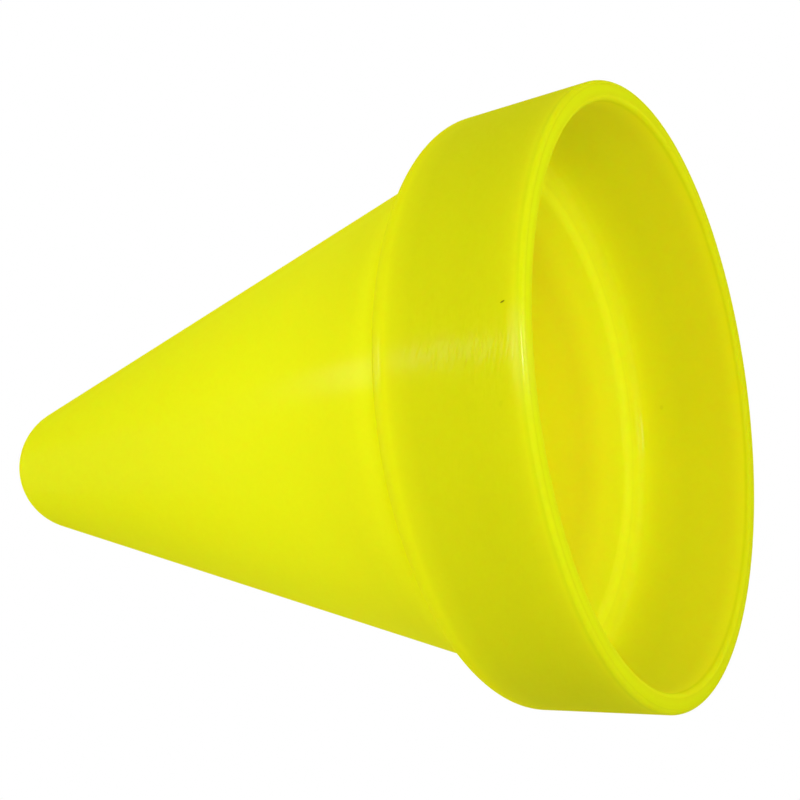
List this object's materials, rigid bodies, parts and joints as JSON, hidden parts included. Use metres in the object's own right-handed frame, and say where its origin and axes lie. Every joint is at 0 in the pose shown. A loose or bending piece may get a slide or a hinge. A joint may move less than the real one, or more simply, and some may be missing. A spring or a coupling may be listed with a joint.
{
  "type": "sports marker cone",
  "caption": "Hollow marker cone with a domed tip, a rounded shoulder and a short collar, which stands on its open rim and stacks on others to mark out a court, track or field.",
  "frame": {"origin": "centre of the rim's flat face, on which the cone stands", "axes": "+Z along the cone's axis from the rim to the tip; the cone is round, so X and Y are any two directions across it"},
  "size_m": [0.108, 0.108, 0.15],
  "materials": {
    "fluorescent_plastic": "satin, translucent, moulded"
  },
  "bodies": {
    "root": {"cone_body": "fluorescent_plastic", "base_collar": "fluorescent_plastic"}
  },
  "joints": []
}
